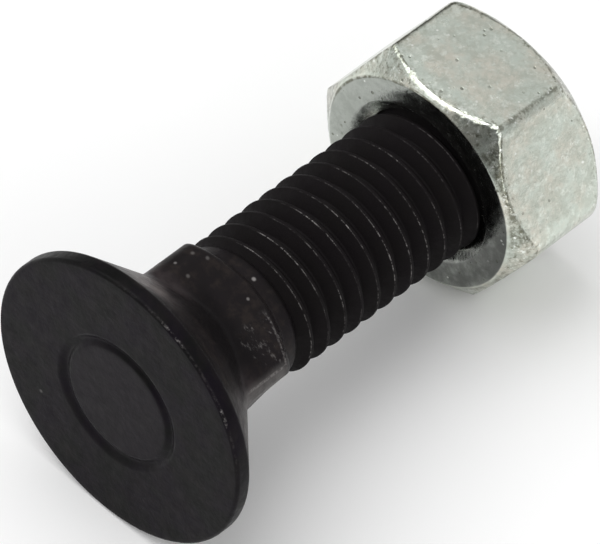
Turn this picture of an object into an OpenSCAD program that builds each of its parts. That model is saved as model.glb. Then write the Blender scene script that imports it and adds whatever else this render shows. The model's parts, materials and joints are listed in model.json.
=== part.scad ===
// Plough bolt with a flat countersunk head, a short square neck and a coarse right-hand thread,
// with a hexagon nut screwed on near its end.
// It lies as it comes to rest: on the rim of its head and on one flat of the nut. Millimetres, +Z up.

/* [Head] */
// Diameter of the head
head_d = 23.7; // [20:0.1:30]
// Height of the upright rim around the head
rim_h = 1.2; // [0.9:0.05:2.5]
// Radius of the rim's two edges
rim_round = 0.3; // [0.1:0.05:0.4]
// Included angle of the cone under the head
cone_angle = 90; // [80:1:100]
// Radius of the fillet between the cone and the flats of the neck
cone_fillet = 0.6; // [0.3:0.1:3]
// Diameter of the ring that is pressed into the head's face, at the middle of its groove
ring_d = 10.4; // [7:0.1:16]
// Width of the ring's groove
ring_w = 0.9; // [0.4:0.05:1.5]
// Depth of the ring's groove
ring_depth = 0.25; // [0.1:0.05:0.6]

/* [Neck] */
// Width of the square neck across its flats
neck_w = 11.9; // [11.4:0.05:13]
// Radius of the four corners of the neck
neck_corner_r = 1.8; // [1:0.1:4]
// Distance from the head's face to the end of the neck
neck_end = 11.5; // [10.5:0.1:16]
// Length of the bevel that takes the neck's corners down towards the thread
neck_bevel = 1.5; // [0.5:0.1:2]
// Angle between the neck's flats and the flats of the nut
neck_turn = 23; // [-45:0.5:45]

/* [Thread] */
// Diameter over the crests of the thread
thread_d = 11.75; // [10.5:0.05:12]
// Pitch of the thread
pitch = 1.75; // [1.25:0.05:2]
// Diameter of the plain shank between the neck and the thread
shank_d = 11; // [10.3:0.05:11.4]
// Length of the plain shank
shank_len = 0.8; // [0.3:0.1:3]
// Length over which the thread grows out of the plain shank to its full depth
runout_len = 1.2; // [0.5:0.1:3]
// Turn about the axis at which the thread starts
thread_turn = 270; // [0:5:360]
// Length of the whole bolt
bolt_len = 40; // [35:0.5:60]
// Length of the chamfer at the bolt's end
point_len = 1.3; // [0.8:0.1:2]

/* [Nut] */
// Width of the nut across its flats
nut_af = 18.7; // [17:0.1:22]
// Height of the nut
nut_h = 9.7; // [7:0.1:14]
// Distance from the bolt's end to the outer face of the nut, which stands past it
nut_past_end = 0.9; // [0:0.1:3]
// Diameter of the flat circle that the chamfer leaves on each face
nut_face_d = 17.8; // [16:0.1:18.5]
// Angle between the nut's chamfers and its faces
nut_chamfer_angle = 43; // [20:1:45]
// Diameter of the countersink at each end of the bore
sink_d = 13.4; // [12.2:0.1:14.5]
// Included angle of the countersinks
sink_angle = 100; // [80:1:120]
// Radial gap between the thread's crests and the bore of the nut
bore_gap = 0.06; // [0.02:0.01:0.1]

/* [Hidden] */
$fn = 96;

BLACK = [0.13, 0.12, 0.13];
PLATED = [0.7, 0.72, 0.7];

// Steps in one turn of the thread
TURN_STEPS = 48;
// Points along one rounded edge or fillet
ARC_STEPS = 6;

head_r = head_d / 2;
cone_half = cone_angle / 2;
// Axial length of the rounding where the rim meets the cone
rim_set = rim_round * tan(45 - cone_half / 2);
neck_r = neck_w / 2;
// Place where the bare cone would meet the middle of a flat of the neck
cone_end = rim_h + (head_r - neck_r) / tan(cone_half);
fillet_set = cone_fillet * tan(cone_half / 2);

thread_r = thread_d / 2;
shank_r = shank_d / 2;
// Depth of a metric thread, and the shares of its pitch that are flat crest and flat root
THREAD_DEPTH = 0.6134;
CREST = 0.14;
ROOT = 0.2;
FLANK = (1 - CREST - ROOT) / 2;
root_r = thread_r - THREAD_DEPTH * pitch;
point_r = thread_r - point_len;
thread_start = neck_end + shank_len;
// The helix begins well inside the neck, at the turn that brings a crest to the thread's start
rod_start = thread_start - 2 * pitch;
rod_turns = ceil((bolt_len - rod_start) / pitch) + 2;
rod_steps = rod_turns * TURN_STEPS;
// One pitch of the thread: share of the pitch past a crest's middle, and radius
PROFILE = [
    [-CREST / 2, thread_r],
    [CREST / 2, thread_r],
    [CREST / 2 + FLANK, root_r],
    [CREST / 2 + FLANK + ROOT, root_r]
];
ROWS = len(PROFILE);

nut_r = nut_af / 2;
nut_corner_r = nut_r / cos(30);
nut_face_r = nut_face_d / 2;
nut_outer = bolt_len + nut_past_end;
nut_inner = nut_outer - nut_h;
bore_r = thread_r + bore_gap;
sink_depth = (sink_d / 2 - bore_r) / tan(sink_angle / 2);
// Depth of the chamfer at the nut's corners and at the middle of its flats
corner_set = (nut_corner_r - nut_face_r) * tan(nut_chamfer_angle);
flat_set = max(0, nut_r - nut_face_r) * tan(nut_chamfer_angle);

// The head's rim and the nut's outer flat both touch the ground, so the axis dips to the nut
rim_touch = rim_h - rim_set;
nut_touch = nut_outer - flat_set;
reach = nut_touch - rim_touch;
drop = head_r - rim_round - nut_r;
tilt = atan2(drop, reach) + asin(rim_round / norm([reach, drop]));
lift = nut_touch * sin(tilt) + nut_r * cos(tilt);
// The origin lies under the middle of the length that the part takes up
low_x = rim_round * cos(tilt) - (head_r - rim_round) * sin(tilt) - rim_round;
high_x = nut_outer * cos(tilt) + nut_face_r * sin(tilt);

// Points of an arc round a centre, from one angle to another
function arc(centre, r, from, to) =
    [for (i = [0:ARC_STEPS]) let (a = from + (to - from) * i / ARC_STEPS) centre + r * [cos(a), sin(a)]];

// Radius of the helical rod at height z: plain at first, then the thread grows to its full depth
function rod_r(z, r) = shank_r + (r - shank_r) * min(1, max(0, (z - thread_start) / runout_len));

function rod_point(i, row) =
    let (
        turn = i / TURN_STEPS,
        z = rod_start + (turn + PROFILE[row][0]) * pitch,
        r = rod_r(z, PROFILE[row][1]),
        a = thread_turn + 360 * turn
    )
    [r * cos(a), r * sin(a), z];

// Number of a point of the rod; the row past the last one is the first row, one turn on
function rod_id(i, row) = row < ROWS ? i * ROWS + row : (i + TURN_STEPS) * ROWS;

// Faces between a closed loop of points and a centre point
function fan(loop, centre) =
    [for (i = [0:len(loop) - 1]) [loop[i], loop[(i + 1) % len(loop)], centre]];

// Lays the bolt's axis along +X, with its end dipping to the ground
module lie_down() {
    translate([-(low_x + high_x) / 2, 0, lift])
        rotate([0, 90 + tilt, 0])
            children();
}

module head() {
    ring_r = ring_d / 2;
    fillet_at = cone_end + fillet_set;
    rotate_extrude()
        polygon(concat(
            [[0, 0], [ring_r - ring_w / 2, 0], [ring_r, ring_depth], [ring_r + ring_w / 2, 0]],
            arc([head_r - rim_round, rim_round], rim_round, -90, 0),
            arc([head_r - rim_round, rim_h - rim_set], rim_round, 0, 90 - cone_half),
            arc([neck_r + cone_fillet, fillet_at], cone_fillet, 270 - cone_half, 180),
            [[0, fillet_at]]
        ));
}

module neck() {
    side = neck_r - neck_corner_r;
    corner = neck_corner_r;
    bevel_r = side * sqrt(2) + corner;
    intersection() {
        translate([0, 0, rim_h])
            rotate([0, 0, neck_turn])
                linear_extrude(neck_end - rim_h)
                    polygon(concat(
                        arc([side, side], corner, 0, 90),
                        arc([-side, side], corner, 90, 180),
                        arc([-side, -side], corner, 180, 270),
                        arc([side, -side], corner, 270, 360)
                    ));
        rotate_extrude()
            polygon([
                [0, 0],
                [2 * neck_r, 0],
                [2 * neck_r, neck_end - neck_bevel],
                [bevel_r, neck_end - neck_bevel],
                [shank_r, neck_end],
                [0, neck_end]
            ]);
    }
}

module threaded_rod() {
    last = rod_steps - TURN_STEPS;
    low_loop = concat(
        [for (i = [0:TURN_STEPS]) rod_id(i, 0)],
        [for (row = [ROWS - 1:-1:1]) rod_id(0, row)]
    );
    high_loop = concat(
        [for (row = [0:ROWS - 1]) rod_id(rod_steps, row)],
        [for (i = [rod_steps - 1:-1:last]) rod_id(i, ROWS - 1)]
    );
    low_centre = (rod_steps + 1) * ROWS;
    polyhedron(
        points = concat(
            [for (i = [0:rod_steps], row = [0:ROWS - 1]) rod_point(i, row)],
            [[0, 0, rod_start + pitch / 2], [0, 0, rod_start + (rod_turns - 0.5) * pitch]]
        ),
        faces = concat(
            [for (i = [0:rod_steps - 1], row = [0:ROWS - (i < last ? 1 : 2)], side = [0, 1])
                side == 0
                    ? [rod_id(i, row), rod_id(i, row + 1), rod_id(i + 1, row + 1)]
                    : [rod_id(i, row), rod_id(i + 1, row + 1), rod_id(i + 1, row)]],
            fan(low_loop, low_centre),
            fan(high_loop, low_centre + 1)
        )
    );
}

module shank() {
    // Bar that the chamfered end is turned from, wider than the thread
    bar_r = thread_r + 1;
    intersection() {
        threaded_rod();
        rotate_extrude()
            polygon([
                [0, 0],
                [bar_r, 0],
                [bar_r, bolt_len - (bar_r - point_r)],
                [point_r, bolt_len],
                [0, bolt_len]
            ]);
    }
}

module bolt() {
    color(BLACK)
        lie_down() {
            head();
            neck();
            shank();
        }
}

module countersink() {
    cylinder(h = sink_depth, r1 = sink_d / 2, r2 = bore_r);
}

module hex_nut() {
    color(PLATED)
        lie_down()
            translate([0, 0, nut_inner])
                difference() {
                    intersection() {
                        rotate([0, 0, 30])
                            cylinder(h = nut_h, r = nut_corner_r, $fn = 6);
                        rotate_extrude()
                            polygon([
                                [0, 0],
                                [nut_face_r, 0],
                                [nut_corner_r, corner_set],
                                [nut_corner_r, nut_h - corner_set],
                                [nut_face_r, nut_h],
                                [0, nut_h]
                            ]);
                    }
                    translate([0, 0, -1])
                        cylinder(h = nut_h + 2, r = bore_r);
                    countersink();
                    translate([0, 0, nut_h])
                        mirror([0, 0, 1])
                            countersink();
                }
}

bolt();
hex_nut();
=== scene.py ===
"""Plough bolt with a hexagon nut, lying on a pale table: meshes, materials, light and camera."""

import json
import math

import bpy
from mathutils import Matrix, Vector, noise


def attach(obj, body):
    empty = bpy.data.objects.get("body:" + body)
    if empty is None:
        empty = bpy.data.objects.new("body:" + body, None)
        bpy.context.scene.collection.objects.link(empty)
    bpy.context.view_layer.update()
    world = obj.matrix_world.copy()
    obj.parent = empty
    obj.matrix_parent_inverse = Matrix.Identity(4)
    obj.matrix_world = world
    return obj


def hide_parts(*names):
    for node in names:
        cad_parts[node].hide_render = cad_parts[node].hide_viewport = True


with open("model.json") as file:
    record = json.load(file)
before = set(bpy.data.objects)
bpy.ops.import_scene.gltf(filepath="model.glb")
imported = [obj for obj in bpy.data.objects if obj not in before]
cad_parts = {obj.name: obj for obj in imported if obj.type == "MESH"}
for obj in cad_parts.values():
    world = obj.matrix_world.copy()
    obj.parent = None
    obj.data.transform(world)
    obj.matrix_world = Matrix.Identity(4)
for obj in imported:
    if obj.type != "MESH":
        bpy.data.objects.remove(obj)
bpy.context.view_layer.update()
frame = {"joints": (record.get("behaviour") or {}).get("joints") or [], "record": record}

# The camera, in the row frame: degrees, metres and millimetres of lens
CAMERA_AIM = Vector((-0.0010989, 0.0002869, 0.0096434))
CAMERA_AZIMUTH = -49.9735
CAMERA_ELEVATION = 52.1451
CAMERA_ROLL = 4.9818
CAMERA_DISTANCE = 0.87684
CAMERA_LENS = 729.58

# Each soft lamp: watts, place and width in metres. The fill is weaker and keeps the shadow pale.
KEY_POWER = 2.1
KEY_PLACE = (-0.10, 0.22, 0.50)
KEY_SIZE = 0.62
FILL_POWER = 0.85
FILL_PLACE = (-0.22, -0.48, 0.22)
FILL_SIZE = 0.50
# What the lamps face
LAMP_AIM = Vector((0, 0, 0.01))
# Strength of the surroundings, and their dark patches: direction, cosines of the angles where each
# begins and where it is full, and the share of the light left in it
WORLD_LIGHT = 0.72
DARK_PATCHES = (
    ((-0.857, -0.268, 0.441), (0.84, 0.96), 0.25),
    ((0.52, 0.84, 0.10), (0.80, 0.95), 0.20),
    ((0.53, -0.85, -0.07), (0.60, 0.95), 0.87),
)
# The floor: metres from its middle to its edges, and its grey
FLOOR_HALF = 3.0
FLOOR_GREY = 0.93

# Edges sharper than this, in degrees, are shaded sharp
SHARP_ANGLE = 40

# Sizes of the bolt and nut in millimetres, as the CAD has them. Heights are distances from the
# head's face, along the bolt's axis.
HEAD_R = 11.85
RIM_H = 1.2
RIM_ROUND = 0.3
CONE_HALF = 45.0
CONE_SLOPE = 1 / math.tan(math.radians(CONE_HALF))
RING_R = 5.2
RING_DEPTH = 0.25
NECK_HALF = 5.95
NECK_CORNER_R = 1.8
NECK_END = 11.5
NECK_BEVEL = 1.5
NECK_TURN = 23.0
SHANK_R = 5.5
THREAD_R = 5.875
PITCH = 1.75
THREAD_DEPTH = 0.6134 * PITCH
THREAD_START = 12.3
RUNOUT = 1.2
THREAD_TURN = 270.0
BOLT_END = 40.0
POINT_LEN = 1.3
NUT_HALF = 9.35
NUT_INNER = 31.2
NUT_OUTER = 40.9
NUT_FACE_R = 8.9
NUT_CHAMFER_SLOPE = math.tan(math.radians(43))
SINK_R = 6.7
SINK_SLOPE = math.tan(math.radians(50))
# Radius that the bevel takes off the neck's corners for each millimetre of height
BEVEL_SLOPE = (math.sqrt(2) * (NECK_HALF - NECK_CORNER_R) + NECK_CORNER_R - SHANK_R) / NECK_BEVEL

# Finer forms than the CAD has, in millimetres. Half the width of the ring's groove, round at its bottom
RING_HALF = 0.55
# Fillets where cone, neck and bevel meet, and where the neck meets the shank
NECK_FILLET = 0.5
SHANK_FILLET = 0.2
# Shares of the pitch that are flat crest and flat root, and the fillets of the bolt's and nut's thread
CREST = 0.11
ROOT = 0.12
BOLT_THREAD_FILLET = 0.16
NUT_THREAD_FILLET = 0.12
# How far the thread starts under the plain shank's skin, and the fillet of the bolt's end
THREAD_SUNK = 0.06
POINT_FILLET = 0.15
# Where the shank's skin starts to taper inside the thread, over what length, how far in, and its end
TAPER_START = THREAD_START + 0.2
TAPER_LENGTH = 1.6
TAPER_DEPTH = 1.2
SKIN_END = THREAD_START + 2.4
# Radii of the nut's corners at each face, and fillets of its edges from the near face to the far one
NEAR_CORNER_ROUND = 0.7
FAR_CORNER_ROUND = 1.2
NEAR_FACE_ROUND = 0.12
NEAR_EDGE_ROUND = 0.26
FAR_EDGE_ROUND = 0.5
FAR_FACE_ROUND = 0.4
# The far chamfer's depth, as a share of what its slope gives
FAR_EDGE_SHARE = 1.05
# The countersinks' fillet, how far it widens their mouth, and the radius inside the bore where they end
SINK_ROUND = 0.25
SINK_LIP = 0.12
SINK_TIP_R = 3.5
# Radius inside the bore from which the nut's skin starts, before the bore is cut
NUT_CORE_R = 4

# The nut's flats and its far face lie this far inside its solid
NUT_WEAR = 0.06
# The nut's thread is this much wider in radius than the bolt's, and sits this far off the middle of
# its grooves towards the head: at the low limit of its travel it is as far off to the other side
THREAD_GAP = 0.27
THREAD_SHIFT = 0.15

# Faults and wear of this one bolt and nut. A lobe is the direction about the axis where a fault lies,
# and the degrees from there within which it is full and past which there is none. In front of it may
# stand its amount. The outer wall of the ring's groove is gentler on the lower side
RING_LOBES = ((0.38, 30, 35, 80),)
# The cone's fillet has a dent: depth, heights where it begins and ends, and the length that takes
DENT_DEPTH = 0.42
DENT_SPAN = (4.9, 7.2)
DENT_SOFT = 0.9
DENT_LOBE = (119, 15, 50)
# The neck is thin on one side: depth, the height where that starts, and the length over which it grows
THIN_DEPTH = 0.38
THIN_START = 6.8
THIN_LENGTH = 4.6
THIN_LOBE = (318, 32, 75)
# One flat of the nut is hollow, its corners, faces and edges differ, and one corner leans, in degrees
FLAT_LOBES = ((-0.12, 95, 15, 50),)
NEAR_CORNER_LOBES = ((-0.4, 150, 10, 30), (0.8, 270, 10, 30))
FAR_CORNER_LOBES = ((-0.6, 150, 10, 30), (1.6, 270, 10, 30))
NEAR_FACE_LOBES = ((-0.17, 77, 15, 35), (-0.10, 302, 10, 25))
FAR_FACE_LOBES = ((-0.12, 180, 8, 22), (-0.16, 243, 10, 30))
NEAR_EDGE_LOBES = ((0.4, 178, 6, 24), (-0.55, 240, 20, 32))
FAR_EDGE_LOBES = ((-0.35, 160, 5, 20),)
LEAN = 1.5
LEAN_LOBE = (210, 4, 30)
# The nut's near edge is ragged: size of the circle walked through the noise, strengths of the coarse
# and the fine noise, how much finer that is, and the least share of the fillet that is left
RAGGED_CIRCLE = 20
RAGGED_COARSE = 1.1
RAGGED_FINE = 1.0
RAGGED_FINER = 3
RAGGED_LEAST = 0.3

# Steps of the meshes: round the bolt, round a turned tool, round a turn of the thread, from the middle
# to the end of each side of the nut, and along the cone and neck in millimetres
BOLT_STEPS = 240
TURNED_STEPS = 144
THREAD_STEPS = 96
NUT_SIDE_STEPS = 40
NECK_STEP = 0.12

# Bright spots on the bolt: place on its own axes, radius in millimetres, and strength
SPOTS = (
    ((-5.46, -2.36, 10.27), 0.18, 0.35),
    ((-7.21, 2.52, 7.6), 0.18, 0.35),
    ((-5.35, -1.29, 12.0), 0.23, 0.56),
    ((-7.24, 2.33, 9.18), 0.22, 0.1575),
    ((-7.05, 1.39, 9.77), 0.22, 0.1575),
    ((-6.97, 1.19, 7.57), 0.22, 0.1575),
    ((5.11, 7.08, 0.0), 0.22, 0.1575),
)

AXIS = Vector(frame["joints"][0]["axis"]).normalized()
TILT = math.atan2(-AXIS.z, AXIS.x)
NECK_MOUNT = next(m for m in frame["record"]["mounts"] if m["name"] == "square_neck")
# Metres along the axis from the head's face to that mount
NECK_MOUNT_AT = 0.0091
# The bolt's own axes: x points down, z runs from the head's face to the bolt's end, in millimetres.
# Directions about the axis are degrees from x towards y.
LIE_DOWN = (
    Matrix.Translation(Vector(NECK_MOUNT["pos_m"]) - NECK_MOUNT_AT * AXIS)
    @ Matrix.Rotation(math.radians(90) + TILT, 4, "Y")
    @ Matrix.Scale(0.001, 4)
)


def smooth_max(a, b, width):
    """The larger of two values, with a fillet of about that width where they cross."""
    h = max(width - abs(a - b), 0.0) / width
    return max(a, b) + h * h * width / 4


def smooth_min(a, b, width):
    return -smooth_max(-a, -b, width)


def ramp(value, start, length):
    """0 before start, 1 after start + length, and smooth between them."""
    t = min(max((value - start) / length, 0.0), 1.0)
    return t * t * (3 - 2 * t)


def lobe(angle, middle, flat, half):
    """1 within flat degrees of a middle angle, 0 from half degrees on; the angle is in radians."""
    away = abs((math.degrees(angle) - middle + 180) % 360 - 180)
    return 1 - ramp(away, flat, half - flat)


def with_lobes(value, angle, lobes):
    """A value with what each lobe adds to it at an angle."""
    for amount, *place in lobes:
        value += amount * lobe(angle, *place)
    return value


def arc(x, y, radius, start, end, steps):
    """Points of an arc round (x, y); angles in degrees."""
    angles = [math.radians(start + (end - start) * i / steps) for i in range(steps + 1)]
    return [(x + radius * math.cos(a), y + radius * math.sin(a)) for a in angles]


def fillet(path, radii, steps=5):
    """The open path with its inner corners rounded to about those radii, or to one radius."""
    if isinstance(radii, (int, float)):
        radii = [radii] * (len(path) - 2)
    out = [path[0]]
    for radius, before, corner, after in zip(radii, path, path[1:], path[2:]):
        p, c, n = Vector(before), Vector(corner), Vector(after)
        to_p, to_n = (p - c), (n - c)
        reach = min(radius, to_p.length * 0.45, to_n.length * 0.45)
        a, b = c + to_p.normalized() * reach, c + to_n.normalized() * reach
        for i in range(steps + 1):
            t = i / steps
            out.append(tuple(a * (1 - t) ** 2 + c * 2 * t * (1 - t) + b * t * t))
    return out + [path[-1]]


def circle(r, z, angles):
    return [(r * math.cos(a), r * math.sin(a), z) for a in angles]


def even_angles(count):
    return [2 * math.pi * i / count for i in range(count)]


def make_object(name, points, faces):
    mesh = bpy.data.meshes.new(name)
    mesh.from_pydata(points, [], faces)
    mesh.transform(LIE_DOWN)
    mesh.validate()
    piece = bpy.data.objects.new(name, mesh)
    bpy.context.scene.collection.objects.link(piece)
    return piece


def skin(name, rings, low, high):
    """A closed solid over rings of equally many points, with a centre point at each end."""
    count = len(rings[0])
    points = [p for ring in rings for p in ring] + [low, high]
    faces = []
    for k in range(len(rings) - 1):
        for i in range(count):
            j = (i + 1) % count
            faces.append((k * count + i, k * count + j, (k + 1) * count + j, (k + 1) * count + i))
    last = (len(rings) - 1) * count
    for i in range(count):
        j = (i + 1) % count
        faces.append((j, i, len(points) - 2))
        faces.append((last + i, last + j, len(points) - 1))
    return make_object(name, points, faces)


def turned(name, outline):
    """A solid of revolution: outline is (radius, height) from its low centre to its high centre."""
    angles = even_angles(TURNED_STEPS)
    rings = [circle(r, z, angles) for r, z in outline]
    return skin(name, rings, (0, 0, outline[0][1]), (0, 0, outline[-1][1]))


def helix(name, profile, start, turns, grow=None):
    """A threaded rod whose ends are closed with fans. profile is (share of the pitch, radius) over one
    pitch, and grow(z, r), if given, is the rod's radius at a height where the profile has r."""
    rows = len(profile)
    total = turns * THREAD_STEPS
    last = total - THREAD_STEPS

    def number(i, row):
        return i * rows + row if row < rows else (i + THREAD_STEPS) * rows

    points = []
    for i in range(total + 1):
        a = math.radians(THREAD_TURN) + 2 * math.pi * i / THREAD_STEPS
        for share, r in profile:
            z = start + (i / THREAD_STEPS + share) * PITCH
            here = grow(z, r) if grow else r
            points.append((here * math.cos(a), here * math.sin(a), z))
    faces = []
    for i in range(total):
        for row in range(rows if i < last else rows - 1):
            quad = (number(i, row), number(i + 1, row), number(i + 1, row + 1), number(i, row + 1))
            faces.append(quad)
    low_loop = [number(i, 0) for i in range(THREAD_STEPS + 1)]
    low_loop += [number(0, row) for row in range(rows - 1, 0, -1)]
    high_loop = [number(i, rows - 1) for i in range(last, total + 1)]
    high_loop += [number(total, row) for row in range(rows - 2, -1, -1)]
    points += [(0, 0, start + PITCH / 2), (0, 0, start + (turns - 0.5) * PITCH)]
    for a, b in zip(low_loop, low_loop[1:] + low_loop[:1]):
        faces.append((b, a, len(points) - 2))
    for a, b in zip(high_loop, high_loop[1:] + high_loop[:1]):
        faces.append((a, b, len(points) - 1))
    return make_object(name, points, faces)


def combine(piece, tool, operation):
    """Boolean of the piece with the tool, which is used up."""
    step = piece.modifiers.new(operation.lower(), "BOOLEAN")
    step.operation = operation
    step.solver = "MANIFOLD"
    step.object = tool
    graph = bpy.context.evaluated_depsgraph_get()
    mesh = bpy.data.meshes.new_from_object(piece.evaluated_get(graph))
    piece.modifiers.remove(step)
    piece.data = mesh
    bpy.data.objects.remove(tool)
    return piece


def thread_profile(outer, rounding):
    """One pitch of a thread from the middle of a crest to the next: (share of the pitch, radius)."""
    flank = (1 - CREST - ROOT) / 2
    inner = outer - THREAD_DEPTH
    path = [
        (0, outer),
        (CREST / 2 * PITCH, outer),
        ((CREST / 2 + flank) * PITCH, inner),
        ((CREST / 2 + flank + ROOT) * PITCH, inner),
        ((1 - CREST / 2) * PITCH, outer),
        (PITCH, outer),
    ]
    return [(z / PITCH, r) for z, r in fillet(path, rounding, 3)][:-1]


def polygon_radius(angle, half, corner, sides):
    """Distance from the axis to a polygon with rounded corners, at an angle from a flat's middle."""
    wedge = math.pi / sides
    a = abs((angle + wedge) % (2 * wedge) - wedge)
    if math.tan(a) <= (half - corner) * math.tan(wedge) / half:
        return half / math.cos(a)
    reach = (half - corner) / math.cos(wedge)
    b = wedge - a
    return reach * math.cos(b) + math.sqrt(corner ** 2 - (reach * math.sin(b)) ** 2)


def neck_radius(z, angle):
    """Outer radius of the cone, neck and plain shank at a height and angle."""
    begin, end = DENT_SPAN
    dent = ramp(z, begin, DENT_SOFT) * ramp(-z, -end, DENT_SOFT) * lobe(angle, *DENT_LOBE)
    cone = HEAD_R - (z - RIM_H) * CONE_SLOPE - DENT_DEPTH * dent
    thin = THIN_DEPTH * ramp(z, THIN_START, THIN_LENGTH) * lobe(angle, *THIN_LOBE)
    square = polygon_radius(angle - math.radians(NECK_TURN), NECK_HALF, NECK_CORNER_R, 4) - thin
    bevel = SHANK_R + (NECK_END - z) * BEVEL_SLOPE
    neck = smooth_min(square, bevel, NECK_FILLET)
    # The skin tapers inside the thread, which takes over from it
    shank = SHANK_R - ramp(z, TAPER_START, TAPER_LENGTH) * TAPER_DEPTH
    return smooth_max(smooth_max(cone, neck, NECK_FILLET), shank, SHANK_FILLET)


def groove_depth(r, angle):
    """Depth of the ring's groove in the head's face."""
    half = with_lobes(RING_HALF, angle, RING_LOBES) if r > RING_R else RING_HALF
    return RING_DEPTH * (0.5 + 0.5 * math.cos(math.pi * min(abs(r - RING_R) / half, 1)))


def head_rings(angles):
    """Rings over the head's face, round the rim, down the cone and neck, to the plain shank's end."""
    radii = [0.8, 2.0, 3.2, 4.0, 4.4]
    radii += [RING_R + RING_HALF * (k / 8 - 1) for k in range(23)]
    radii += [6.6, 7.2, 8.2, 9.2, 10.2, 11.0]
    rings = [[(r * math.cos(a), r * math.sin(a), groove_depth(r, a)) for a in angles] for r in radii]
    back = RIM_H - RIM_ROUND * math.tan(math.radians(CONE_HALF / 2))
    rim = arc(HEAD_R - RIM_ROUND, RIM_ROUND, RIM_ROUND, -90, 0, 7)
    rim += arc(HEAD_R - RIM_ROUND, back, RIM_ROUND, 0, CONE_HALF, 4)
    rings += [circle(r, z, angles) for r, z in rim]
    z = rim[-1][1] + NECK_STEP
    while z < SKIN_END:
        radii = [neck_radius(z, a) for a in angles]
        rings.append([(r * math.cos(a), r * math.sin(a), z) for r, a in zip(radii, angles)])
        z += NECK_STEP
    return rings


def make_rod():
    """The bolt's thread, from inside the neck to the chamfered end."""
    def grow(z, r):
        return SHANK_R - THREAD_SUNK + (r - SHANK_R + THREAD_SUNK) * ramp(z, THREAD_START, RUNOUT)

    start = THREAD_START - 2 * PITCH
    turns = math.ceil((BOLT_END - start) / PITCH) + 2
    rod = helix("thread", thread_profile(THREAD_R, BOLT_THREAD_FILLET), start, turns, grow)
    # What the rod is cut to: a bar wider than the thread, turned down to the chamfered end
    bar, core, low = THREAD_R + 1, 0.5, start - 5
    chamfer = [(bar, BOLT_END - POINT_LEN - 1), (THREAD_R - POINT_LEN, BOLT_END)]
    outline = [(core, low)] + fillet([(bar, low)] + chamfer + [(core, BOLT_END)], POINT_FILLET)
    return combine(rod, turned("stock", outline), "INTERSECT")


def make_bolt():
    rings = head_rings(even_angles(BOLT_STEPS))
    bolt = skin("bolt_forging", rings, (0, 0, rings[0][0][2]), (0, 0, rings[-1][0][2]))
    return combine(bolt, make_rod(), "UNION")


def ragged(angle):
    """Share of its usual fillet that the nut's near edge has at an angle."""
    coarse = [RAGGED_CIRCLE * c for c in (math.cos(angle), math.sin(angle), 0)]
    fine = [RAGGED_FINER * c for c in coarse]
    share = 1 + RAGGED_COARSE * noise.noise(coarse) + RAGGED_FINE * noise.noise(fine)
    return max(share, RAGGED_LEAST)


def nut_column(angle):
    """Radius and height of the nut's skin at an angle, from its near face to its far face."""
    half = with_lobes(NUT_HALF - NUT_WEAR, angle, FLAT_LOBES)
    near = polygon_radius(angle, half, with_lobes(NEAR_CORNER_ROUND, angle, NEAR_CORNER_LOBES), 6)
    far = polygon_radius(angle, half, with_lobes(FAR_CORNER_ROUND, angle, FAR_CORNER_LOBES), 6)
    near_edge = (near - NUT_FACE_R) * NUT_CHAMFER_SLOPE
    far_share = with_lobes(FAR_EDGE_SHARE, angle, FAR_EDGE_LOBES)
    far_edge = (far - NUT_FACE_R) * NUT_CHAMFER_SLOPE * far_share
    height = NUT_OUTER - NUT_WEAR - NUT_INNER
    near_edge_round = NEAR_EDGE_ROUND * ragged(angle) * with_lobes(1, angle, NEAR_EDGE_LOBES)
    path = [
        (NUT_CORE_R, 0),
        (with_lobes(NUT_FACE_R, angle, NEAR_FACE_LOBES), 0),
        (near, near_edge),
        (far, height - far_edge),
        (with_lobes(NUT_FACE_R, angle, FAR_FACE_LOBES), height),
        (NUT_CORE_R, height),
    ]
    return fillet(path, [NEAR_FACE_ROUND, near_edge_round, FAR_EDGE_ROUND, FAR_FACE_ROUND])


def nut_blank():
    """The nut before its bore is cut."""
    sixth = math.pi / 6
    # More columns towards each corner, where the outline turns
    steps = range(-NUT_SIDE_STEPS, NUT_SIDE_STEPS)
    shares = [math.sin(math.pi / 2 * k / NUT_SIDE_STEPS) for k in steps]
    columns = []
    for a in (sixth * (2 * side + share) for side in range(6) for share in shares):
        column = []
        for r, z in nut_column(a):
            # One corner leans round the axis towards the far face
            at = a + math.radians(LEAN) * lobe(a, *LEAN_LOBE) * z / (NUT_OUTER - NUT_INNER)
            column.append((r * math.cos(at), r * math.sin(at), NUT_INNER + z))
        columns.append(column)
    rings = [[column[k] for column in columns] for k in range(len(columns[0]))]
    return skin("nut_forging", rings, (0, 0, NUT_INNER), (0, 0, rings[-1][0][2]))


def make_nut():
    # The tap runs past both faces, in step with the bolt's thread
    whole_pitches = math.floor((NUT_INNER - THREAD_START) / PITCH - 2)
    start = THREAD_START + PITCH * whole_pitches - THREAD_SHIFT
    turns = math.ceil((NUT_OUTER - start) / PITCH) + 3
    tap = helix("tap", thread_profile(THREAD_R + THREAD_GAP, NUT_THREAD_FILLET), start, turns)
    nut = combine(nut_blank(), tap, "DIFFERENCE")
    wide = SINK_R + 2
    lip = [(wide, -0.6), (SINK_R + SINK_LIP, 0), (SINK_TIP_R, (SINK_R - SINK_TIP_R) / SINK_SLOPE)]
    outline = [(wide, -2)] + fillet(lip, SINK_ROUND)
    for face, way in ((NUT_INNER, 1), (NUT_OUTER, -1)):
        tool = [(r, face + way * z) for r, z in outline[::way]]
        combine(nut, turned("countersink", tool), "DIFFERENCE")
    return nut


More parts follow.
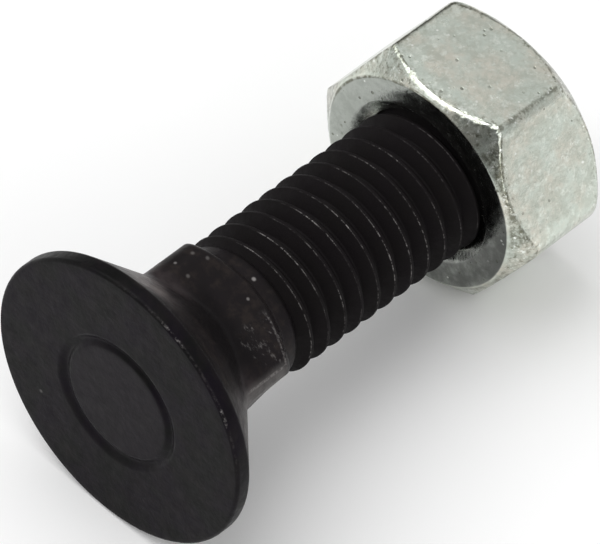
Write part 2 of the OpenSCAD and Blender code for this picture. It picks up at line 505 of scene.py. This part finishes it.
class Graph:
    """A node tree. Inputs may be sockets or plain values."""

    def __init__(self, tree):
        self.tree = tree

    def put(self, socket, value):
        """Links a socket to another one, or sets its plain value."""
        if isinstance(value, bpy.types.NodeSocket):
            self.tree.links.new(value, socket)
        else:
            socket.default_value = value

    def add(self, kind, inputs, **settings):
        node = self.tree.nodes.new("ShaderNode" + kind)
        for key, value in settings.items():
            setattr(node, key, value)
        for key, value in inputs.items():
            self.put(node.inputs[key], value)
        return node

    def math(self, operation, *values):
        return self.add("Math", dict(enumerate(values)), operation=operation).outputs[0]

    def ramp(self, value, low, high, start=0.0, end=1.0):
        """start where the value is low, end where it is high, smooth between them."""
        inputs = {"Value": value, "From Min": low, "From Max": high, "To Min": start, "To Max": end}
        return self.add("MapRange", inputs, interpolation_type="SMOOTHSTEP").outputs[0]

    def fold(self, operation, values):
        """The operation over several values, one after the other."""
        result = values[0]
        for value in values[1:]:
            result = self.math(operation, result, value)
        return result

    def both(self, *values):
        """The product of masks and strengths."""
        return self.fold("MULTIPLY", values)

    def most(self, *values):
        return self.fold("MAXIMUM", values)

    def least(self, *values):
        return self.fold("MINIMUM", values)

    def less(self, *values):
        """The first value less the others."""
        return self.fold("SUBTRACT", values)

    def total(self, *values):
        return self.fold("ADD", values)


class Paint(Graph):
    """The nodes of one material, which work in millimetres on the bolt's own axes."""

    # The Mix node's sockets for two colours
    MIX_A, MIX_B = 6, 7

    def __init__(self, name):
        self.material = bpy.data.materials.new(name)
        self.material.use_nodes = True
        super().__init__(self.material.node_tree)
        self.shader = self.tree.nodes["Principled BSDF"]
        # From the row frame in metres to the bolt's own axes in millimetres
        move, turn, size = LIE_DOWN.inverted().decompose()
        place = self.add("TexCoord", {}).outputs["Object"]
        inputs = {"Vector": place, "Location": move, "Rotation": turn.to_euler(), "Scale": size}
        self.place = self.add("Mapping", inputs).outputs[0]
        self.x, self.y, self.z = self.add("SeparateXYZ", {0: self.place}).outputs
        squares = self.total(self.math("POWER", self.x, 2), self.math("POWER", self.y, 2))
        self.r = self.math("SQRT", squares)
        self.angle = self.math("ARCTAN2", self.y, self.x)

    def band(self, value, middle, half, soft):
        """1 where the value is within half of the middle, 0 past a soft edge."""
        return self.ramp(self.math("ABSOLUTE", self.less(value, middle)), half, half + soft, 1.0, 0.0)

    def span(self, low, high, soft):
        """1 between two heights, 0 past soft edges."""
        return self.band(self.z, (low + high) / 2, (high - low) / 2, soft)

    def facing(self, degrees):
        """Cosine of the angle about the axis from a direction."""
        return self.math("COSINE", self.less(self.angle, math.radians(degrees)))

    def sector(self, middle, flat, half):
        """1 within flat degrees of a direction about the axis, 0 from half degrees on."""
        return self.ramp(self.facing(middle), math.cos(math.radians(half)), math.cos(math.radians(flat)))

    def spot(self, place, radius):
        """1 at a place, and 0 from a radius on."""
        away = self.add("VectorMath", {0: self.place, 1: place}, operation="DISTANCE").outputs["Value"]
        return self.ramp(away, radius * 0.2, radius, 1.0, 0.0)

    def noise(self, size, seed, detail=5, roughness=0.6, stretch=None):
        """Noise from 0 to 1 whose features are about that size; stretch squeezes it along each axis."""
        vector = self.place
        if stretch:
            vector = self.add("Mapping", {"Vector": vector, "Scale": stretch}).outputs[0]
        inputs = {"Vector": vector, "W": seed, "Scale": 1 / size, "Detail": detail}
        inputs["Roughness"] = roughness
        return self.add("TexNoise", inputs, noise_dimensions="4D").outputs[0]

    def patches(self, size, low, high, seed, least=0.0, most=1.0, **options):
        """Soft patches: least where the noise is under low, and most where it is over high."""
        return self.ramp(self.noise(size, seed, **options), low, high, least, most)

    def specks(self, size, radius, seed):
        """1 in round specks of about that radius, one to each cell of that size."""
        inputs = {"Vector": self.place, "W": seed, "Scale": 1 / size, "Randomness": 1.0}
        distance = self.add("TexVoronoi", inputs, voronoi_dimensions="4D").outputs["Distance"]
        return self.ramp(distance, radius / size, radius / size + 0.06, 1.0, 0.0)

    def mix(self, factor, a, b):
        """Colour a where the factor is 0 and b where it is 1."""
        node = self.add("Mix", {"Factor": factor}, data_type="RGBA")
        for place, value in ((self.MIX_A, a), (self.MIX_B, b)):
            self.put(node.inputs[place], (*value, 1) if isinstance(value, tuple) else value)
        return node.outputs[2]

    def bump(self, height, depth, under=None):
        """A bump whose height of 1 stands depth millimetres proud."""
        inputs = {"Height": height, "Distance": depth / 1000, "Strength": 1.0}
        if under is not None:
            inputs["Normal"] = under
        return self.add("Bump", inputs).outputs[0]

    def finish(self, colour, roughness, metallic, normal):
        self.put(self.shader.inputs["Base Color"], colour)
        self.put(self.shader.inputs["Roughness"], roughness)
        self.put(self.shader.inputs["Metallic"], metallic)
        self.put(self.shader.inputs["Normal"], normal)
        return self.material


# Linear colours of the bolt: its oxide and where it differs, and the steel where the oxide is gone
OXIDE_PURPLE = (0.0050, 0.0034, 0.0060)
OXIDE_GREEN = (0.0041, 0.0041, 0.0040)
OXIDE_PATCH = (0.0085, 0.0068, 0.0074)
OXIDE_IN_RING = (0.0125, 0.0105, 0.0130)
OXIDE_BROWN = (0.0120, 0.0098, 0.0104)
OXIDE_RUST = (0.0190, 0.0150, 0.0140)
# Painted shade: darker where the cone bends into the neck
BEND_SHADE = (0.0040, 0.0033, 0.0038)
OXIDE_THREAD = (0.0075, 0.0062, 0.0064)
# Painted sheen: the cone's edges made paler where they would reflect the bright surroundings
CONE_SHEEN = (0.036, 0.029, 0.030)
# Painted highlight on the upper side of the cone
CONE_HIGHLIGHT = (0.115, 0.098, 0.094)
# Painted reflection: a paler patch on one side of the neck, as the bright floor would show in it
NECK_REFLECTION = (0.086, 0.080, 0.078)
BARE_STEEL = (0.42, 0.40, 0.39)
# Oil and oxide reflect little
BLACK_SPECULAR = 0.065


def oxide_colour(n, on_thread):
    """Nearly black and uneven, paler inside the ring."""
    clouds = n.patches(3.0, 0.4, 0.6, seed=1, detail=4, roughness=0.5)
    colour = n.mix(clouds, OXIDE_PURPLE, OXIDE_GREEN)
    colour = n.mix(n.both(n.patches(1.2, 0.45, 0.62, seed=2), 0.5), colour, OXIDE_PATCH)
    in_ring = n.both(n.ramp(n.r, RING_R - 0.9, RING_R - 0.4, 1.0, 0.0), n.ramp(n.z, 0.3, 0.5, 1.0, 0.0))
    colour = n.mix(n.both(in_ring, 0.7), colour, OXIDE_IN_RING)
    return n.mix(n.both(on_thread, 0.8), with_neck(n, colour), OXIDE_THREAD)


def with_neck(n, colour):
    """Adds the browner cone and neck, with painted sheen and a painted highlight on the cone, painted
    shade where the cone meets the neck, and a painted reflection on one side of the neck.
    """
    on_neck = n.span(2.0, 12.0, 1.2)
    colour = n.mix(n.both(on_neck, 0.8), colour, OXIDE_BROWN)
    rust = n.patches(0.9, 0.46, 0.66, seed=3, roughness=0.65)
    colour = n.mix(n.both(on_neck, rust), colour, OXIDE_RUST)
    # Painted sheen on two sides of the cone
    cone_sheen = n.both(
        n.span(2.2, 6.0, 1.2),
        n.most(n.sector(168, 12, 30), n.sector(246, 6, 16)),
        n.patches(1.4, 0.3, 0.6, seed=12),
    )
    colour = n.mix(n.both(cone_sheen, 0.8), colour, CONE_SHEEN)
    # A painted highlight on the cone, in two soft spots
    cone_highlight = n.both(
        n.most(n.spot((-10.4, 0.6, 2.6), 2.4), n.spot((-9.1, 2.4, 3.6), 2.4)),
        n.patches(0.9, 0.3, 0.65, seed=17, roughness=0.65, least=0.3),
    )
    colour = n.mix(cone_highlight, colour, CONE_HIGHLIGHT)
    # Painted shade in the bend between cone and neck, on one side
    bend = n.both(n.span(4.6, 7.5, 1.2), n.sector(210, 20, 36))
    colour = n.mix(n.both(bend, 0.75), colour, BEND_SHADE)
    # A painted reflection on one side of the neck, uneven
    neck_reflection = n.both(
        n.span(2.6, 9.2, 0.9),
        n.sector(275, 24, 32),
        n.patches(1.0, 0.2, 0.6, seed=13, roughness=0.7, least=0.4),
    )
    return n.mix(neck_reflection, colour, NECK_REFLECTION)


def crest_wear_and_highlight(n, fine):
    """Broken bright lines on the thread's crests, fainter near the nut: partly wear and partly painted
    highlight, on one side only.
    """
    turns = n.math("DIVIDE", n.less(n.angle, math.radians(THREAD_TURN)), 2 * math.pi)
    pitches = n.math("DIVIDE", n.less(n.z, THREAD_START), PITCH)
    share = n.math("FRACT", n.total(n.less(pitches, turns), 0.5))
    return n.both(
        n.band(share, 0.5 - CREST / 2 - 0.01, 0.006, 0.014),
        n.ramp(n.r, THREAD_R - 0.12, THREAD_R - 0.05),
        n.ramp(n.facing(222), 0.35, 0.8),
        n.ramp(n.z, 13.0, 13.6),
        n.ramp(n.z, 25, 29.5, 1.0, 0.25),
        n.patches(3.0, 0.42, 0.58, seed=4, detail=3, roughness=0.5, least=0.12),
        n.patches(0.9, 0.38, 0.62, seed=18, detail=3, least=0.25),
        fine,
    )


def rim_wear_and_highlight(n, fine):
    """Bright dashes along the edge of the head, in two places: partly wear and partly painted highlight.
    """
    where = n.most(n.sector(200, 3, 8), n.sector(233, 3, 8), n.both(n.sector(215, 30, 50), 0.12))
    edge = n.both(n.band(n.r, HEAD_R - 0.08, 0.03, 0.05), n.ramp(n.z, 0.3, 0.45, 1.0, 0.0))
    dashes = n.patches(0.8, 0.42, 0.55, seed=6, detail=4, roughness=0.7)
    return n.both(edge, dashes, fine, where)


def corner_wear_and_highlight(n, fine):
    """Bright lines along one corner of the neck and along the bevel next to it: partly wear and partly
    painted highlight.
    """
    corner = n.both(n.sector(248, 0.3, 1.2), n.span(6.0, 9.6, 0.8), fine)
    inside = n.less(n.both(n.less(NECK_END, n.z), BEVEL_SLOPE), n.less(n.r, SHANK_R))
    bevel = n.both(n.band(inside, 0.50, 0.06, 0.12), n.sector(234, 12, 20), n.span(8, 11, 0.5), fine)
    return n.most(corner, bevel)


def black_steel():
    """Oiled black oxide, bare steel along some edges, painted highlights on the crests and edges,
    painted sheen, highlight and reflection on the cone and neck, and painted shade where the cone meets
    the neck.
    """
    n = Paint("black_steel")
    on_thread = n.ramp(n.z, 12.2, 13.2)
    fine = n.patches(0.3, 0.42, 0.62, seed=5, detail=4, roughness=0.75)
    pitted = n.both(n.sector(231, 11, 17), n.span(7.9, 10.2, 0.8))
    stretch = (1, 1, 2.5)
    scratches = n.patches(0.8, 0.54, 0.66, seed=14, detail=4, roughness=0.7, stretch=stretch)
    # Bare steel where the oxide is gone, and also as painted highlights on the crests and edges
    worn_and_highlit = n.most(
        n.both(crest_wear_and_highlight(n, fine), 0.8),
        n.both(rim_wear_and_highlight(n, fine), 0.4),
        n.both(corner_wear_and_highlight(n, fine), 0.22),
        n.both(pitted, scratches, 0.16),
        *(n.both(n.spot(place, radius), strength) for place, radius, strength in SPOTS),
    )
    colour = n.mix(worn_and_highlit, oxide_colour(n, on_thread), BARE_STEEL)

    roughness = n.patches(0.7, 0.3, 0.7, seed=8, least=0.30, most=0.48)
    roughness = n.total(roughness, n.both(on_thread, 0.22))
    height = n.bump(n.noise(2.2, seed=9, detail=4, roughness=0.5), 0.06)
    height = n.bump(n.noise(0.45, seed=10, detail=4), 0.02, height)
    height = n.bump(n.noise(0.12, seed=11, detail=2), 0.008, height)
    height = n.bump(n.both(pitted, n.noise(0.6, seed=15, detail=4, roughness=0.7)), 0.15, height)
    n.put(n.shader.inputs["Specular IOR Level"], BLACK_SPECULAR)
    return n.finish(colour, roughness, worn_and_highlit, height)


# Linear colours of the nut: its plating and where it differs
ZINC_GREEN = (0.615, 0.67, 0.600)
ZINC_WARM = (0.67, 0.655, 0.570)
ZINC_DARK = (0.50, 0.53, 0.46)
ZINC_PALE = (0.82, 0.86, 0.79)
# Painted shade: the near face darker than the plating
SHADED_FACE_PALE = (0.42, 0.445, 0.41)
SHADED_FACE_DARK = (0.36, 0.385, 0.35)
# Painted shade, deeper, on one side of the near face
FACE_SHADE = (0.13, 0.13, 0.125)
# Painted shade: dark lines along the corners and edges
EDGE_SHADE = (0.12, 0.12, 0.085)
EDGE_STAIN = (0.17, 0.17, 0.12)
EDGE_CHIP = (0.92, 0.95, 0.90)
# Painted highlight: a bright line along the near edge of one flat
EDGE_HIGHLIGHT = (0.90, 0.92, 0.88)
SPECK = (0.15, 0.16, 0.12)
GLINT = (0.95, 0.97, 0.93)


def plating_colour(n, mottle):
    """Green-grey plating with warm clouds, mottled and grained."""
    clouds = n.patches(2.4, 0.4, 0.62, seed=21, detail=4)
    colour = n.mix(clouds, ZINC_GREEN, ZINC_WARM)
    colour = n.mix(n.both(mottle, 0.7), colour, ZINC_DARK)
    grain = n.patches(0.45, 0.5, 0.68, seed=29, detail=4, roughness=0.7)
    return n.mix(n.both(grain, 0.65), colour, ZINC_PALE)


def with_face(n, colour, mottle):
    """Paints shade on the near face, mottled, and more painted shade on one side of it."""
    near = n.ramp(n.z, NUT_INNER + 0.3, NUT_INNER + 0.8, 1.0, 0.0)
    on_face = n.both(n.ramp(n.r, NUT_FACE_R - 0.1, NUT_FACE_R, 1.0, 0.0), near)
    # Painted shade over the near face
    colour = n.mix(on_face, colour, n.mix(mottle, SHADED_FACE_PALE, SHADED_FACE_DARK))
    # More painted shade on one side of the near face, in patches
    face_shade = n.patches(1.5, 0.3, 0.55, seed=31, roughness=0.65)
    return n.mix(n.both(on_face, n.ramp(n.facing(300), 0.1, 0.8), face_shade, 0.7), colour, FACE_SHADE)


def nut_places(n):
    """Distances from the axis along the normals of the nearest flat and the next one, and height over
    the edge between chamfer and flat, from either face."""
    across = [
        n.math("ABSOLUTE", n.total(n.both(n.x, math.cos(a)), n.both(n.y, math.sin(a))))
        for a in (0, math.pi / 3, 2 * math.pi / 3)
    ]
    nearest = n.most(*across)
    second = n.less(n.total(*across), nearest, n.least(*across))
    half_height = (NUT_OUTER - NUT_INNER) / 2
    depth = n.less(half_height, n.math("ABSOLUTE", n.less(n.z, (NUT_INNER + NUT_OUTER) / 2)))
    past_edge = n.less(depth, n.both(n.less(n.r, NUT_FACE_R), NUT_CHAMFER_SLOPE))
    return nearest, second, past_edge


def with_edge_shade_and_stains(n, colour, second, past_edge, uneven):
    """Adds painted shade as dark lines along the nut's corners and edges, and stains and chips near
    them.
    """
    off_face = n.ramp(n.r, NUT_FACE_R, NUT_FACE_R + 0.3)
    corner_line = n.ramp(second, NUT_HALF - 0.40, NUT_HALF - 0.22)
    edge_line = n.both(n.band(past_edge, 0.12, 0.04, 0.12), off_face)
    wide_line = n.both(n.band(past_edge, 0.02, 0.10, 0.12), off_face, n.sector(240, 20, 30))
    face_line = n.both(n.band(n.r, NUT_FACE_R - 0.06, 0.05, 0.12), n.ramp(n.facing(150), 0.2, 0.9))
    # Painted shade along the corners and edges
    lines = n.most(n.both(corner_line, 0.8), edge_line, wide_line, face_line)
    colour = n.mix(n.both(lines, n.ramp(uneven, 0.0, 1.0, 0.25, 0.9)), colour, EDGE_SHADE)
    near_edge = n.both(n.band(past_edge, 0.1, 0.15, 0.6), off_face)
    near_edge = n.most(n.ramp(second, NUT_HALF - 0.9, NUT_HALF - 0.1), near_edge)
    stains = n.patches(0.4, 0.5, 0.68, seed=30, roughness=0.75)
    colour = n.mix(n.both(near_edge, stains), colour, EDGE_STAIN)
    chips = n.patches(0.45, 0.56, 0.66, seed=32, roughness=0.75)
    return n.mix(n.both(near_edge, chips), colour, EDGE_CHIP)


def with_edges(n, colour):
    """Adds painted shade, stains and chips along the nut's edges, and a painted highlight along the near
    edge of one flat.
    """
    nearest, second, past_edge = nut_places(n)
    uneven = n.patches(0.5, 0.38, 0.6, seed=23, roughness=0.75)
    colour = with_edge_shade_and_stains(n, colour, second, past_edge, uneven)
    flat = NUT_HALF - NUT_WEAR
    # A painted highlight along the near edge of one flat
    edge_highlight = n.both(
        n.band(past_edge, 0.02, 0.07, 0.08),
        n.ramp(nearest, flat - 0.13, flat - 0.05),
        n.sector(189, 17, 27),
        n.ramp(uneven, 0.1, 0.7, 0.15, 1.0),
    )
    return n.mix(edge_highlight, colour, EDGE_HIGHLIGHT)


def zinc_plate():
    """Satin zinc plating with dark specks and bright ones, painted shade on its near face and along its
    edges, stains and chips near them, and a painted highlight on one edge.
    """
    n = Paint("zinc_plate")
    mottle = n.patches(0.8, 0.42, 0.60, seed=22, roughness=0.7)
    colour = with_edges(n, with_face(n, plating_colour(n, mottle), mottle))
    specks = n.both(n.specks(0.8, 0.11, seed=24), n.patches(2.0, 0.4, 0.55, seed=33, detail=4))
    colour = n.mix(n.both(specks, 0.75), colour, SPECK)
    glints = n.both(n.specks(0.6, 0.09, seed=25), n.patches(2.4, 0.4, 0.55, seed=34, detail=4))
    colour = n.mix(n.both(glints, 0.75), colour, GLINT)

    roughness = n.patches(0.6, 0.3, 0.7, seed=26, least=0.16, most=0.28)
    height = n.bump(n.noise(1.6, seed=27, detail=4, roughness=0.5), 0.05)
    height = n.bump(n.noise(0.3, seed=28, detail=4), 0.015, height)
    height = n.bump(n.less(1.0, specks), 0.02, height)
    return n.finish(colour, roughness, 1.0, height)


def floor_paint():
    material = bpy.data.materials.new("floor_paint")
    material.use_nodes = True
    shader = material.node_tree.nodes["Principled BSDF"]
    shader.inputs["Base Color"].default_value = (FLOOR_GREY, FLOOR_GREY, FLOOR_GREY, 1)
    shader.inputs["Roughness"].default_value = 0.9
    shader.inputs["Specular IOR Level"].default_value = 0.0
    return material


def make_floor():
    corners = [(x * FLOOR_HALF, y * FLOOR_HALF, 0) for x, y in ((-1, -1), (1, -1), (1, 1), (-1, 1))]
    mesh = bpy.data.meshes.new("floor")
    mesh.from_pydata(corners, [], [(0, 1, 2, 3)])
    floor = bpy.data.objects.new("floor", mesh)
    bpy.context.scene.collection.objects.link(floor)
    mesh.materials.append(floor_paint())


def make_light(name, power, place, size):
    """A square soft light that faces the object."""
    data = bpy.data.lights.new(name, "AREA")
    data.energy = power
    data.size = size
    lamp = bpy.data.objects.new(name, data)
    lamp.location = place
    lamp.rotation_euler = (LAMP_AIM - Vector(place)).to_track_quat("-Z", "Y").to_euler()
    bpy.context.scene.collection.objects.link(lamp)


def make_world():
    """A pale surround with soft darker patches, as a room has around a photographer's table. The camera
    itself sees it white."""
    world = bpy.data.worlds.new("world")
    world.use_nodes = True
    g = Graph(world.node_tree)
    place = g.add("TexCoord", {}).outputs["Generated"]
    strength = WORLD_LIGHT
    for direction, (begin, full), share in DARK_PATCHES:
        inputs = {0: place, 1: Vector(direction).normalized()}
        towards = g.add("VectorMath", inputs, operation="DOT_PRODUCT").outputs["Value"]
        strength = g.both(g.ramp(towards, begin, full, 1.0, share), strength)
    for_camera = g.add("LightPath", {}).outputs["Is Camera Ray"]
    background = world.node_tree.nodes["Background"]
    g.put(background.inputs["Strength"], g.most(strength, for_camera))
    g.put(background.inputs["Color"], (1, 1, 1, 1))
    bpy.context.scene.world = world


def make_camera():
    azimuth, elevation = math.radians(CAMERA_AZIMUTH), math.radians(CAMERA_ELEVATION)
    forward = Vector((
        -math.sin(azimuth) * math.cos(elevation),
        math.cos(azimuth) * math.cos(elevation),
        -math.sin(elevation),
    ))
    data = bpy.data.cameras.new("camera")
    data.lens = CAMERA_LENS
    data.sensor_width = 36
    data.clip_start = 0.01
    camera = bpy.data.objects.new("camera", data)
    camera.location = CAMERA_AIM - forward * CAMERA_DISTANCE
    level = forward.to_track_quat("-Z", "Y").to_matrix()
    camera.rotation_euler = (level @ Matrix.Rotation(math.radians(CAMERA_ROLL), 3, "Z")).to_euler()
    bpy.context.scene.collection.objects.link(camera)
    bpy.context.scene.camera = camera


def dress(piece, material, body, node):
    """Gives a finished mesh its material, and its place in the part."""
    piece.data.materials.clear()
    piece.data.materials.append(material)
    piece.data.shade_smooth()
    piece.data.set_sharp_from_angle(angle=math.radians(SHARP_ANGLE))
    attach(piece, body)
    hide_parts(node)


dress(make_bolt(), black_steel(), "bolt_body", "bolt")
dress(make_nut(), zinc_plate(), "nut_body", "hex_nut")

make_floor()
make_light("key", KEY_POWER, KEY_PLACE, KEY_SIZE)
make_light("fill", FILL_POWER, FILL_PLACE, FILL_SIZE)
make_world()
bpy.context.scene.view_settings.view_transform = "Standard"
make_camera()
